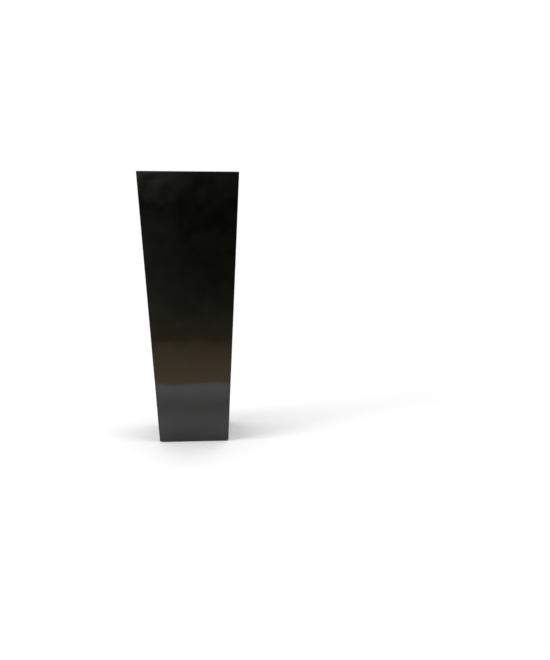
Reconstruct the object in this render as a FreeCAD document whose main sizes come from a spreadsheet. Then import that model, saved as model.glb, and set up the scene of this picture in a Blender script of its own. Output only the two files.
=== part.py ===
import FreeCAD, Part
import math
import os

import Sketcher

# Tall square planter: a tapered gloss shell on rubber pads, with a return rim, a bonded base tray,
# a lift-out planting shelf on four ledges and a rubber drain bung.
# Millimetres, +Z up, origin on the floor under the middle of the planter, front wall towards -Y.

SHEET_NAME = "Dims"
LENGTH_TOLERANCE = 1e-4

# Driving dimensions, in millimetres
DIMENSIONS = [
    ("height", 1000, "floor to the top of the rim"),
    ("top_width", 360, "outside width at the top of the rim"),
    ("base_width", 260, "outside width at the foot of the walls"),
    ("wall", 4.5, "shell thickness, measured level"),
    ("arris_radius", 3, "outside edges of the shell and the rim"),
    ("base_edge_radius", 2, "outside edge at the foot of the walls"),
    ("corner_radius", 8, "upright inside corners of the shell"),
    ("corner_relief", 1, "extra corner radius on a piece bonded inside the shell"),
    ("rim_width", 32, "flat top of the rim, outside edge to mouth"),
    ("rim_thickness", 5, "plate of the rim"),
    ("lip_depth", 50, "rim top down to the end of the turned-down lip"),
    ("lip_thickness", 4, "turned-down lip round the mouth"),
    ("mouth_corner", 8, "plan radius of the mouth's corners"),
    ("mouth_edge_radius", 2.5, "rounded edge where the rim turns down into the mouth"),
    ("spigot_depth", 18, "flange under the rim that centres it in the shell"),
    ("spigot_thickness", 4, "thickness of that flange"),
    ("floor_thickness", 6, "floor of the base tray"),
    ("upstand_height", 26, "base tray, underside to the top of its bonding flange"),
    ("upstand_thickness", 4, "bonding flange of the base tray"),
    ("tray_fillet", 5, "inside fillets of the base tray"),
    ("drain_diameter", 24, "drain hole at the underside of the floor"),
    ("drain_flare", 1.5, "radius that the drain gains through the floor"),
    ("plug_clearance", 0.3, "bung to drain hole, on the radius"),
    ("plug_tip", 1.5, "bung below the underside of the floor"),
    ("plug_flange_diameter", 38, "sealing flange of the bung"),
    ("plug_flange_thickness", 4, "sealing flange of the bung"),
    ("plug_neck_diameter", 13, "neck of the bung's pull knob"),
    ("plug_neck_height", 9, "neck of the bung's pull knob"),
    ("plug_knob_diameter", 22, "pull knob of the bung"),
    ("plug_knob_height", 9, "pull knob of the bung"),
    ("plug_knob_radius", 3, "rounded edges of the pull knob"),
    ("shelf_drop", 400, "rim top down to the top of the shelf"),
    ("shelf_clearance", 3, "shelf to the mouth or the walls, on each side, as it is lifted out"),
    ("shelf_thickness", 5, "plate of the shelf"),
    ("skirt_depth", 26, "shelf top down to the end of its skirt"),
    ("skirt_thickness", 5, "skirt round the shelf"),
    ("shelf_corner", 14, "plan radius of the shelf's corners"),
    ("shelf_edge_radius", 2.5, "rounded top edge of the shelf"),
    ("hand_slot_length", 92, "hand slot, end to end"),
    ("hand_slot_width", 28, "hand slot, side to side"),
    ("hand_slot_inset", 44, "edge of the shelf to the middle of a hand slot"),
    ("shelf_drain_diameter", 18, "drain hole through the shelf"),
    ("shelf_drain_spacing", 96, "drain holes, side to side of their square"),
    ("bearing_width", 16, "edge of the shelf to the nose of the ledge under it"),
    ("ledge_nose", 8, "upright nose of a ledge"),
    ("ledge_rise", 26, "ledge against the wall, top to bottom"),
    ("ledge_end_gap", 10, "end of a ledge to the side of its neighbour"),
    ("foot_height", 4, "rubber pad under the base"),
    ("foot_diameter", 32, "rubber pad under the base"),
    ("foot_chamfer", 1, "lower edge of a rubber pad"),
    ("foot_inset", 34, "side of the base to the middle of a pad"),
]

doc = FreeCAD.newDocument("tall_square_planter")


# Named values and the expressions that repeat


def make_sheet():
    """The spreadsheet that holds every driving dimension under its alias."""
    table = doc.addObject("Spreadsheet::Sheet", SHEET_NAME)
    for row, (alias, size, meaning) in enumerate(DIMENSIONS, start=1):
        table.set(f"A{row}", alias)
        table.set(f"B{row}", str(size))
        table.setAlias(f"B{row}", alias)
        table.set(f"C{row}", meaning)
    doc.recompute()
    return table


sheet = make_sheet()


def dim(alias):
    """An expression for one driving dimension."""
    return f"{SHEET_NAME}.{alias}"


def value(expression):
    """The number that an expression gives now, for a sketch's first guess."""
    return float(sheet.evalExpression(expression))


def outer_width(z):
    """Outside width of the tapered walls at height z."""
    share = f"(({z}) - {dim('foot_height')}) / ({dim('height')} - {dim('foot_height')})"
    return f"({dim('base_width')} + ({dim('top_width')} - {dim('base_width')}) * {share})"


def inner_width(z):
    """Inside width of the tapered walls at height z."""
    return f"({outer_width(z)} - 2 * {dim('wall')})"


FLARE = f"({dim('top_width')} - {dim('base_width')}) / 2"
WALL_LEAN = f"atan({FLARE} / ({dim('height')} - {dim('foot_height')}))"
RIM_SEAT = f"({dim('height')} - {dim('rim_thickness')})"
SPIGOT_END = f"({RIM_SEAT} - {dim('spigot_depth')})"
LIP_END = f"({dim('height')} - {dim('lip_depth')})"
MOUTH_WIDTH = f"({dim('top_width')} - 2 * {dim('rim_width')})"
BASE = dim("foot_height")
FLOOR_TOP = f"({BASE} + {dim('floor_thickness')})"
UPSTAND_TOP = f"({BASE} + {dim('upstand_height')})"
BONDED_CORNER = f"({dim('corner_radius')} + {dim('corner_relief')})"
SHELF_TOP = f"({dim('height')} - {dim('shelf_drop')})"
LEDGE_TOP = f"({SHELF_TOP} - {dim('skirt_depth')})"
SHELF_ROOM = f"min({MOUTH_WIDTH}; {inner_width(LEDGE_TOP)})"
SHELF_WIDTH = f"({SHELF_ROOM} - 2 * {dim('shelf_clearance')})"


# Sketches


def new_body(label):
    """A body whose label names its file."""
    body = doc.addObject("PartDesign::Body", label)
    body.Label = label
    return body


def origin_plane(body, role):
    """One of the body's own origin planes."""
    return next(feature for feature in body.Origin.OriginFeatures if feature.Role == role)


def new_sketch(body, name, role="XY_Plane", z=None):
    """An empty sketch on an origin plane, raised to the expression z."""
    sketch = body.newObject("Sketcher::SketchObject", name)
    sketch.AttachmentSupport = [(origin_plane(body, role), "")]
    sketch.MapMode = "FlatFace"
    if z is not None:
        sketch.setExpression("AttachmentOffset.Base.z", z)
    return sketch


def bind(sketch, name, expression, *constraint):
    """Adds a sized constraint under a name and ties it to the sheet."""
    index = sketch.addConstraint(Sketcher.Constraint(*constraint, value(expression)))
    sketch.renameConstraint(index, name)
    sketch.setExpression(f"Constraints.{name}", expression)


def add_loop(sketch, corners):
    """Straight lines through the corners and back to the first one."""
    count = len(corners)
    for i in range(count):
        sketch.addGeometry(Part.LineSegment(corners[i], corners[(i + 1) % count]), False)
    for i in range(count):
        sketch.addConstraint(Sketcher.Constraint("Coincident", i, 2, (i + 1) % count, 1))


def square_sketch(body, name, width, z):
    """A square of the given width, centred on the upright axis at height z."""
    sketch = new_sketch(body, name, z=z)
    half = value(width) / 2
    signs = [(-1, -1), (1, -1), (1, 1), (-1, 1)]
    add_loop(sketch, [FreeCAD.Vector(sx * half, sy * half, 0) for sx, sy in signs])
    for side in (0, 2):
        sketch.addConstraint(Sketcher.Constraint("Horizontal", side))
    for side in (1, 3):
        sketch.addConstraint(Sketcher.Constraint("Vertical", side))
    sketch.addConstraint(Sketcher.Constraint("Symmetric", 0, 1, 2, 1, -1, 1))
    sketch.addConstraint(Sketcher.Constraint("Equal", 0, 1))
    bind(sketch, "Width", width, "DistanceX", 0, 1, 0, 2)
    return sketch


def section_sketch(body, name, role, points):
    """A closed outline on an upright plane through (level, height) points, 0 meaning on the axis."""
    sketch = new_sketch(body, name, role)
    add_loop(sketch, [FreeCAD.Vector(value(level), value(height), 0) for level, height in points])
    for i, (level, height) in enumerate(points):
        if level == "0":
            sketch.addConstraint(Sketcher.Constraint("PointOnObject", i, 1, -2))
        else:
            bind(sketch, f"Level{i}", level, "DistanceX", -1, 1, i, 1)
        bind(sketch, f"Height{i}", height, "DistanceY", -1, 1, i, 1)
    return sketch


def circle_sketch(body, name, diameter, z, x="0", y="0"):
    """A circle at height z, on the upright axis or away from it."""
    sketch = new_sketch(body, name, z=z)
    centre = FreeCAD.Vector(value(x), value(y), 0)
    circle = Part.Circle(centre, FreeCAD.Vector(0, 0, 1), value(diameter) / 2)
    sketch.addGeometry(circle, False)
    if x == "0":
        sketch.addConstraint(Sketcher.Constraint("Coincident", 0, 3, -1, 1))
    else:
        bind(sketch, "CentreX", x, "DistanceX", -1, 1, 0, 3)
        bind(sketch, "CentreY", y, "DistanceY", -1, 1, 0, 3)
    bind(sketch, "Diameter", diameter, "Diameter", 0)
    return sketch


def slot_sketch(body, name, length, width, offset, z):
    """A round-ended slot along X, its middle at -Y by the offset."""
    sketch = new_sketch(body, name, z=z)
    radius = value(width) / 2
    reach = (value(length) - value(width)) / 2
    level = -value(offset)
    up = FreeCAD.Vector(0, 0, 1)
    corner = lambda sx, sy: FreeCAD.Vector(sx * reach, level + sy * radius, 0)
    right = Part.Circle(FreeCAD.Vector(reach, level, 0), up, radius)
    left = Part.Circle(FreeCAD.Vector(-reach, level, 0), up, radius)
    quarter = math.pi / 2
    sketch.addGeometry(Part.LineSegment(corner(-1, 1), corner(1, 1)), False)
    sketch.addGeometry(Part.ArcOfCircle(right, -quarter, quarter), False)
    sketch.addGeometry(Part.LineSegment(corner(1, -1), corner(-1, -1)), False)
    sketch.addGeometry(Part.ArcOfCircle(left, quarter, 3 * quarter), False)
    for first, first_end, second, second_end in ((0, 2, 1, 2), (1, 1, 2, 1), (2, 2, 3, 2), (3, 1, 0, 1)):
        sketch.addConstraint(Sketcher.Constraint("Tangent", first, first_end, second, second_end))
    sketch.addConstraint(Sketcher.Constraint("Horizontal", 0))
    sketch.addConstraint(Sketcher.Constraint("Symmetric", 1, 3, 3, 3, -2))
    bind(sketch, "EndRadius", f"({width}) / 2", "Radius", 1)
    bind(sketch, "Reach", f"({length}) - ({width})", "DistanceX", 3, 3, 1, 3)
    bind(sketch, "Offset", offset, "DistanceY", 1, 3, -1, 1)
    return sketch


# Features


def pad(body, name, sketch, length, symmetric=False):
    """Material from a sketch, upwards or both ways."""
    feature = body.newObject("PartDesign::Pad", name)
    feature.Profile = sketch
    feature.setExpression("Length", length)
    if symmetric:
        feature.SideType = "Symmetric"
    doc.recompute()
    return feature


def recompute_cut(body, name):
    """Recomputes the document and stops if the body's newest cut took nothing away."""
    before = body.Tip.BaseFeature.Shape.Volume
    doc.recompute()
    if body.Shape.Volume >= before:
        raise RuntimeError(f"{body.Label}: {name} cuts nothing")


def pocket(body, name, sketch, length, upwards=False):
    """A cut from a sketch, downwards unless it is turned round."""
    feature = body.newObject("PartDesign::Pocket", name)
    feature.Profile = sketch
    feature.Reversed = upwards
    feature.setExpression("Length", length)
    recompute_cut(body, name)
    return feature


def turned_block(body, name, sketch):
    """Material from a full turn of a section about the upright axis."""
    feature = body.newObject("PartDesign::Revolution", name)
    feature.Profile = sketch
    feature.ReferenceAxis = (sketch, ["V_Axis"])
    feature.Angle = 360
    doc.recompute()
    return feature


def turned_hole(body, name, sketch):
    """A cut from a full turn of a section about the upright axis."""
    feature = body.newObject("PartDesign::Groove", name)
    feature.Profile = sketch
    feature.ReferenceAxis = (sketch, ["V_Axis"])
    feature.Angle = 360
    recompute_cut(body, name)
    return feature


def dress_edges(body, kind, name, choose):
    """A dress-up feature on the edges of the body's last feature that the test picks."""
    base = body.Tip
    names = [f"Edge{i}" for i, edge in enumerate(base.Shape.Edges, start=1) if choose(edge)]
    if not names:
        raise RuntimeError(f"{body.Label}: {name} finds no edge")
    feature = body.newObject(kind, name)
    feature.Base = (base, names)
    return feature


def fillet(body, name, radius, choose):
    """Rounds the edges that the test picks."""
    feature = dress_edges(body, "PartDesign::Fillet", name, choose)
    feature.setExpression("Radius", radius)
    doc.recompute()
    return feature


def bevel(body, name, size, choose):
    """Bevels the edges that the test picks."""
    feature = dress_edges(body, "PartDesign::Chamfer", name, choose)
    feature.setExpression("Size", size)
    doc.recompute()
    return feature


def lean_out(body, name, width, low_z, high_z, outwards):
    """Leans four upright faces away from the axis, hinged on the level face at low_z."""
    base = body.Tip
    low, high, half = value(low_z), value(high_z), value(width) / 2
    sides, hinge = [], None
    for i, face in enumerate(base.Shape.Faces, start=1):
        box, tilt = face.BoundBox, face.normalAt(0, 0).z
        reach = max(abs(box.XMin), abs(box.XMax), abs(box.YMin), abs(box.YMax))
        spans = close(box.ZMin, low) and close(box.ZMax, high)
        if spans and close(tilt, 0) and close(reach, half):
            sides.append(f"Face{i}")
        if close(box.ZMin, low) and close(box.ZMax, low):
            hinge = f"Face{i}"
    feature = body.newObject("PartDesign::Draft", name)
    feature.Base = (base, sides)
    feature.NeutralPlane = (base, [hinge])
    feature.Reversed = outwards
    feature.setExpression("Angle", WALL_LEAN)
    doc.recompute()
    return feature


def tapered_block(body, name, width, low_z, high_z):
    """A square block whose sides lean out with the walls; the width is the one at low_z."""
    outline = square_sketch(body, f"{name}_outline", width, low_z)
    pad(body, f"{name}_prism", outline, f"{high_z} - {low_z}")
    return lean_out(body, name, width, low_z, high_z, outwards=True)


def tapered_hollow(body, name, width, low_z, high_z):
    """A square hollow, open at the top, whose sides lean out with the walls."""
    outline = square_sketch(body, f"{name}_outline", width, low_z)
    pocket(body, f"{name}_prism", outline, f"{high_z} - {low_z}", upwards=True)
    return lean_out(body, name, width, low_z, high_z, outwards=False)


def close(a, b):
    """Whether two lengths are the same to the model's tolerance."""
    return abs(a - b) < LENGTH_TOLERANCE


def corner_edges(low_width, low_z, high_width, high_z):
    """A test for the corner edges of one square block, upright or leaning."""
    ends = [(value(low_z), value(low_width) / 2), (value(high_z), value(high_width) / 2)]

    def is_corner(edge):
        box = edge.BoundBox
        if not (close(box.ZMin, ends[0][0]) and close(box.ZMax, ends[1][0])):
            return False
        low, high = sorted(edge.Vertexes, key=lambda vertex: vertex.Z)
        at = lambda vertex, half: close(abs(vertex.X), half) and close(abs(vertex.Y), half)
        return at(low, ends[0][1]) and at(high, ends[1][1])

    return is_corner


def level_edges(z, low_reach, high_reach):
    """A test for the edges at height z that stay between two reaches from the upright axis."""
    height, nearest, furthest = value(z), value(low_reach) / 2, value(high_reach) / 2

    def is_level(edge):
        box = edge.BoundBox
        if not (close(box.ZMin, height) and close(box.ZMax, height)):
            return False
        reach = max(abs(box.XMin), abs(box.XMax), abs(box.YMin), abs(box.YMax))
        return nearest - LENGTH_TOLERANCE <= reach <= furthest + LENGTH_TOLERANCE

    return is_level


# Sub-parts


def make_shell():
    """Four tapered walls in one moulding, open at both ends."""
    body = new_body("shell")
    outside = (outer_width(BASE), BASE, outer_width(RIM_SEAT), RIM_SEAT)
    inside = (inner_width(BASE), BASE, inner_width(RIM_SEAT), RIM_SEAT)
    tapered_block(body, "shell_outside", outside[0], BASE, RIM_SEAT)
    tapered_hollow(body, "shell_inside", inside[0], BASE, RIM_SEAT)
    fillet(body, "shell_arrises", dim("arris_radius"), corner_edges(*outside))
    fillet(body, "shell_corners", dim("corner_radius"), corner_edges(*inside))
    fillet(
        body, "shell_foot", dim("base_edge_radius"),
        level_edges(BASE, f"{dim('base_width')} - {dim('wall')}", dim("base_width")),
    )
    return body


def make_rim():
    """The flat return rim: a plate over the walls, a spigot inside them and a lip round the mouth."""
    body = new_body("rim_frame")
    plate = (outer_width(RIM_SEAT), RIM_SEAT, dim("top_width"), dim("height"))
    spigot = (inner_width(SPIGOT_END), SPIGOT_END, inner_width(RIM_SEAT), RIM_SEAT)
    channel_width = f"({spigot[0]} - 2 * {dim('spigot_thickness')})"
    lip_width = f"({MOUTH_WIDTH} + 2 * {dim('lip_thickness')})"
    tapered_block(body, "rim_plate", plate[0], RIM_SEAT, dim("height"))
    tapered_block(body, "rim_spigot", spigot[0], SPIGOT_END, RIM_SEAT)
    tapered_hollow(body, "rim_channel", channel_width, SPIGOT_END, RIM_SEAT)
    fillet(body, "rim_arrises", dim("arris_radius"), corner_edges(*plate))
    fillet(body, "spigot_corners", BONDED_CORNER, corner_edges(*spigot))
    lip = square_sketch(body, "lip_outline", lip_width, LIP_END)
    pad(body, "lip", lip, f"{RIM_SEAT} - {LIP_END}")
    lip_corner = f"({dim('mouth_corner')} + {dim('lip_thickness')})"
    fillet(body, "lip_corners", lip_corner, corner_edges(lip_width, LIP_END, lip_width, RIM_SEAT))
    mouth = square_sketch(body, "mouth_outline", MOUTH_WIDTH, dim("height"))
    pocket(body, "mouth", mouth, dim("lip_depth"))
    mouth_block = (MOUTH_WIDTH, LIP_END, MOUTH_WIDTH, dim("height"))
    fillet(body, "mouth_corners", dim("mouth_corner"), corner_edges(*mouth_block))
    fillet(
        body, "rim_top_edge", dim("arris_radius"),
        level_edges(dim("height"), f"{dim('top_width')} - {dim('rim_width')}", dim("top_width")),
    )
    fillet(
        body, "mouth_edge", dim("mouth_edge_radius"),
        level_edges(dim("height"), "0", f"{dim('top_width')} - {dim('rim_width')}"),
    )
    return body


def make_base_tray():
    """The floor, with an upstand that is bonded to the inside of the walls and a tapered drain hole."""
    body = new_body("base_tray")
    block = (inner_width(BASE), BASE, inner_width(UPSTAND_TOP), UPSTAND_TOP)
    hollow = [f"({inner_width(z)} - 2 * {dim('upstand_thickness')})" for z in (FLOOR_TOP, UPSTAND_TOP)]
    tapered_block(body, "tray_block", block[0], BASE, UPSTAND_TOP)
    tapered_hollow(body, "tray_hollow", hollow[0], FLOOR_TOP, UPSTAND_TOP)
    fillet(body, "tray_corners", BONDED_CORNER, corner_edges(*block))
    inside_corner = corner_edges(hollow[0], FLOOR_TOP, hollow[1], UPSTAND_TOP)
    floor_edge = level_edges(FLOOR_TOP, "0", hollow[0])
    fillet(body, "tray_fillets", dim("tray_fillet"), lambda edge: inside_corner(edge) or floor_edge(edge))
    low, high = f"{dim('drain_diameter')} / 2", f"{dim('drain_diameter')} / 2 + {dim('drain_flare')}"
    outline = [("0", BASE), (low, BASE), (high, FLOOR_TOP), ("0", FLOOR_TOP)]
    turned_hole(body, "drain", section_sketch(body, "drain_section", "XZ_Plane", outline))
    return body


def make_bung():
    """A turned rubber bung: tapered plug, sealing flange, neck and pull knob."""
    body = new_body("drain_bung")
    seat = f"({dim('drain_diameter')} / 2 - {dim('plug_clearance')})"
    tip = f"{seat} - {dim('drain_flare')} * {dim('plug_tip')} / {dim('floor_thickness')}"
    flange_top = f"({FLOOR_TOP} + {dim('plug_flange_thickness')})"
    neck_top = f"({flange_top} + {dim('plug_neck_height')})"
    knob_top = f"({neck_top} + {dim('plug_knob_height')})"
    tip_end = f"{BASE} - {dim('plug_tip')}"
    flange, neck, knob = (f"{dim(f'plug_{part}_diameter')} / 2" for part in ("flange", "neck", "knob"))
    outline = [
        ("0", tip_end),
        (tip, tip_end),
        (f"{seat} + {dim('drain_flare')}", FLOOR_TOP),
        (flange, FLOOR_TOP),
        (flange, flange_top),
        (neck, flange_top),
        (neck, neck_top),
        (knob, neck_top),
        (knob, knob_top),
        ("0", knob_top),
    ]
    turned_block(body, "bung_turning", section_sketch(body, "bung_section", "XZ_Plane", outline))
    is_knob_top = level_edges(knob_top, "0", dim("plug_knob_diameter"))
    is_knob_rim = level_edges(neck_top, dim("plug_knob_diameter"), dim("plug_knob_diameter"))
    fillet(body, "knob_edges", dim("plug_knob_radius"), lambda edge: is_knob_top(edge) or is_knob_rim(edge))
    return body


def make_shelf():
    """The lift-out shelf: a plate with a turned-down skirt, two hand slots and four drain holes."""
    body = new_body("planting_shelf")
    well_width = f"({SHELF_WIDTH} - 2 * {dim('skirt_thickness')})"
    well_top = f"({SHELF_TOP} - {dim('shelf_thickness')})"
    outline = square_sketch(body, "shelf_outline", SHELF_WIDTH, LEDGE_TOP)
    pad(body, "shelf_block", outline, dim("skirt_depth"))
    block = (SHELF_WIDTH, LEDGE_TOP, SHELF_WIDTH, SHELF_TOP)
    fillet(body, "shelf_corners", dim("shelf_corner"), corner_edges(*block))
    fillet(body, "shelf_edge", dim("shelf_edge_radius"), level_edges(SHELF_TOP, "0", SHELF_WIDTH))
    well = square_sketch(body, "shelf_well_outline", well_width, LEDGE_TOP)
    pocket(body, "shelf_well", well, f"{well_top} - {LEDGE_TOP}", upwards=True)
    well_corner = f"{dim('shelf_corner')} - {dim('skirt_thickness')}"
    fillet(body, "well_corners", well_corner, corner_edges(well_width, LEDGE_TOP, well_width, well_top))
    slot = slot_sketch(
        body, "hand_slot_outline", dim("hand_slot_length"), dim("hand_slot_width"),
        f"{SHELF_WIDTH} / 2 - {dim('hand_slot_inset')}", SHELF_TOP,
    )
    front_slot = pocket(body, "hand_slot", slot, dim("shelf_thickness"))
    slots = body.newObject("PartDesign::Mirrored", "hand_slots")
    slots.Originals = [front_slot]
    slots.MirrorPlane = (origin_plane(body, "XZ_Plane"), [""])
    body.Tip = slots
    doc.recompute()
    reach = f"{dim('shelf_drain_spacing')} / 2"
    hole = circle_sketch(body, "shelf_drain_outline", dim("shelf_drain_diameter"), SHELF_TOP, reach, reach)
    one_drain = pocket(body, "shelf_drain", hole, dim("shelf_thickness"))
    drains = body.newObject("PartDesign::PolarPattern", "shelf_drains")
    drains.Originals = [one_drain]
    drains.Axis = (hole, ["N_Axis"])
    drains.Angle = 360
    drains.Occurrences = 4
    body.Tip = drains
    doc.recompute()
    return body


def make_ledge(side, turn_degrees):
    """A bonded ledge along one wall: its back leans with the wall, and its underside slopes to the nose."""
    body = new_body(f"shelf_ledge_{side}")
    wall_at = lambda z: f"({inner_width(z)} / 2)"
    nose = f"({SHELF_WIDTH} / 2 - {dim('bearing_width')})"
    heel = f"({LEDGE_TOP} - {dim('ledge_rise')})"
    outline = [
        (wall_at(LEDGE_TOP), LEDGE_TOP),
        (nose, LEDGE_TOP),
        (nose, f"{LEDGE_TOP} - {dim('ledge_nose')}"),
        (wall_at(heel), heel),
    ]
    section = section_sketch(body, f"ledge_section_{side}", "YZ_Plane", outline)
    span = f"2 * ({nose} - {dim('ledge_end_gap')})"
    pad(body, f"ledge_length_{side}", section, span, symmetric=True)
    body.Placement.Rotation = FreeCAD.Rotation(FreeCAD.Vector(0, 0, 1), turn_degrees)
    doc.recompute()
    return body


def make_foot(place, x_sign, y_sign):
    """One rubber pad under a corner of the base."""
    body = new_body(f"foot_pad_{place}")
    outline = circle_sketch(body, f"pad_outline_{place}", dim("foot_diameter"), "0")
    pad(body, f"pad_{place}", outline, BASE)
    bevel(body, f"pad_bevel_{place}", dim("foot_chamfer"), level_edges("0", "0", dim("foot_diameter")))
    reach = f"({dim('base_width')} / 2 - {dim('foot_inset')})"
    body.setExpression("Placement.Base.x", f"{x_sign} * {reach}")
    body.setExpression("Placement.Base.y", f"{y_sign} * {reach}")
    doc.recompute()
    return body


def make_all():
    """Every sub-part of the planter."""
    bodies = [make_shell(), make_rim(), make_base_tray(), make_bung(), make_shelf()]
    for side, turn_degrees in (("back", 0), ("left", 90), ("front", 180), ("right", 270)):
        bodies.append(make_ledge(side, turn_degrees))
    for depth, y_sign in (("front", -1), ("back", 1)):
        for side, x_sign in (("left", -1), ("right", 1)):
            bodies.append(make_foot(f"{depth}_{side}", x_sign, y_sign))
    return bodies


def check_document(bodies):
    """Stops before anything is written if an object failed or a shape isn't one valid solid."""
    doc.recompute()
    for item in doc.Objects:
        if "Invalid" in item.State or "Error" in item.State:
            raise RuntimeError(f"{item.Label} failed: {item.State}")
    for body in bodies:
        shape = body.Shape
        if shape.isNull() or not shape.isValid() or len(shape.Solids) != 1:
            raise RuntimeError(f"{body.Label} isn't one valid solid")


def export(bodies):
    """Writes each sub-part to parts/LABEL.step and prints its size."""
    os.makedirs("parts", exist_ok=True)
    for body in bodies:
        body.Shape.exportStep(os.path.join("parts", f"{body.Label}.step"))
        box = body.Shape.BoundBox
        size = f"{box.XLength:.1f} x {box.YLength:.1f} x {box.ZLength:.1f} mm"
        print(f"{body.Label}: {size}, {body.Shape.Volume / 1000:.1f} cm3")


planter = make_all()
check_document(planter)
export(planter)
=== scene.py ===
# %% [markdown]
# # A tall square planter in black gelcoat
# The real planter is a hollow, tapered box laid up in glass fibre: a polished black gelcoat outside,
# a rougher flow coat inside, a flat rim turned down into the mouth, a loose shelf to plant on,
# a drain bung and rubber pads. The packed CAD part already has every piece at its size and place.
# This lesson gives each piece its finished surface and leaves the places alone.

# %% Load the frame
import math
from collections import namedtuple

import bmesh
import bpy
import numpy as np
from mathutils import Matrix, Vector


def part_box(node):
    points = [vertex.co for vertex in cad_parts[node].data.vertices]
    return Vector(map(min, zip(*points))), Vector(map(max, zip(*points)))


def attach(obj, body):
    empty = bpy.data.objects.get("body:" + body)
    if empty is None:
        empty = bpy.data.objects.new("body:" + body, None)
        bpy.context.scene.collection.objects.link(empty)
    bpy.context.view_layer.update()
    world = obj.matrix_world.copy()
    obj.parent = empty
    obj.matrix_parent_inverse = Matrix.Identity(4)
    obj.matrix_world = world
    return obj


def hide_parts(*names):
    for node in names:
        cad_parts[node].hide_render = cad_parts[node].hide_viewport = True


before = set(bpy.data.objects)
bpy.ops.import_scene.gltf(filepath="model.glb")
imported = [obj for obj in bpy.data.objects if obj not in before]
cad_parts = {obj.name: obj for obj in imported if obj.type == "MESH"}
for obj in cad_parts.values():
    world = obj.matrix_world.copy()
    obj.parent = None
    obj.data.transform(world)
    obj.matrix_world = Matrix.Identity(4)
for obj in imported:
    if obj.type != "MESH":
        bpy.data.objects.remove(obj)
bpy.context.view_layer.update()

# %% [markdown]
# ## Sizes
# A moulding this tall comes out of its mould only if it is tapered, so the walls lean out as they rise.
# All sizes could be typed in again, but what the CAD boxes tell is read from them, so that a skin lies
# exactly where its solid is. Only what a box can't tell, such as the thickness of a wall, is written down.
# Two known widths give the lean: the tray's top edge, which touches the inside of the walls near the floor,
# and the top of the shell, where the rim sits.

# %% Sizes from the frame
shell_low, shell_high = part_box("shell")
rim_low, rim_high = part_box("rim_frame")
_, tray_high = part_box("base_tray")

WALL = 0.0045
ARRIS = 0.003
HEIGHT = rim_high.z
BASE = shell_low.z
RIM_SEAT = shell_high.z
LEAN = (shell_high.x - tray_high.x - WALL) / (RIM_SEAT - tray_high.z)
LEAN_ANGLE = math.atan(LEAN)
LEAN_DEGREES = math.degrees(LEAN_ANGLE)


def outside(z):
    """Half the outside width of the walls at a height."""
    return shell_high.x + LEAN * (z - RIM_SEAT)


def inside(z):
    """Half the inside width of the walls at a height."""
    return outside(z) - WALL


print(f"walls lean {LEAN_DEGREES:.2f} degrees, {2000 * outside(BASE):.1f} mm wide at the foot, "
      f"{2000 * outside(HEIGHT):.1f} mm at the top")

# %% [markdown]
# ## A section carried round a square
# Shell, rim, shelf and tray each have one section that runs round a square with rounded corners, as a
# running mould would draw it. They could be boxes with bevel modifiers, but black gloss shows every shading
# error, so here each ring is worked out and each corner of a face gets its true surface direction.
# A section is a chain of stations: half width, corner radius and height. A span joins two stations, and
# knows which way the section runs at both its ends and which finish it has.

# %% The section
Span = namedtuple("Span", "start end slope_start slope_end finish wavy")


class Section:
    """A moulding's section: stations of half width, corner radius and height, joined by spans."""

    def __init__(self, half, corner, z):
        self.stations = [np.array((half, corner, z))]
        self.spans = []
        self.outer_edges = set()

    def add(self, station, slope_start, slope_end, finish, wavy):
        self.stations.append(np.array(station))
        last = len(self.stations) - 1
        self.spans.append(Span(last - 1, last, np.array(slope_start), np.array(slope_end), finish, wavy))

    def line(self, half, corner, z, steps=1, finish=0, wavy=False):
        """A straight run to a new station."""
        start = self.stations[-1]
        run = np.array((half, corner, z)) - start
        for step in range(1, steps + 1):
            self.add(start + run * step / steps, run, run, finish, wavy)
        return self

    def arc(self, centre_half, centre_z, size, start, end, steps=5, finish=0):
        """A round edge between two angles; the corner radius follows the width, so it rolls round corners.

        An arc that turns left is an outer edge, which gets rubbed in use."""
        spare = self.stations[-1][1] - self.stations[-1][0]
        way = 1 if end > start else -1
        slope = lambda angle: way * np.array((-math.sin(angle), -math.sin(angle), math.cos(angle)))
        angles = np.radians(np.linspace(start, end, steps + 1))
        for here, there in zip(angles[:-1], angles[1:]):
            half = centre_half + size * math.cos(there)
            z = centre_z + size * math.sin(there)
            self.add((half, half + spare, z), slope(here), slope(there), finish, False)
        if way == 1:
            self.outer_edges.update(range(len(self.stations) - steps, len(self.stations) - 1))
        return self

    def close(self, finish=0):
        """A straight run back to the first station."""
        run = self.stations[0] - self.stations[-1]
        self.spans.append(Span(len(self.stations) - 1, 0, run, run, finish, False))
        return self

    def meet(self):
        """Drops a last station that has come back to the first one, so that the section closes on it."""
        self.stations.pop()
        self.spans[-1] = self.spans[-1]._replace(end=0)
        return self


round_edge = Section(0.1, 0.01, 0.0).arc(0.09, 0.0, 0.01, 0, 90)
print("a round edge in five steps has", len(round_edge.stations), "stations")

# %% [markdown]
# ## A ring of points
# Seen from above, every station is a ring: four straight sides and four corner arcs. One pattern serves all
# rings, because only the width and the corner radius change. For each point it holds what the width
# spreads, which way the point faces, which wall it is on and where along that wall.

# %% The ring's pattern
Plan = namedtuple("Plan", "spread facing wall place")
IN_CORNER = -1


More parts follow.
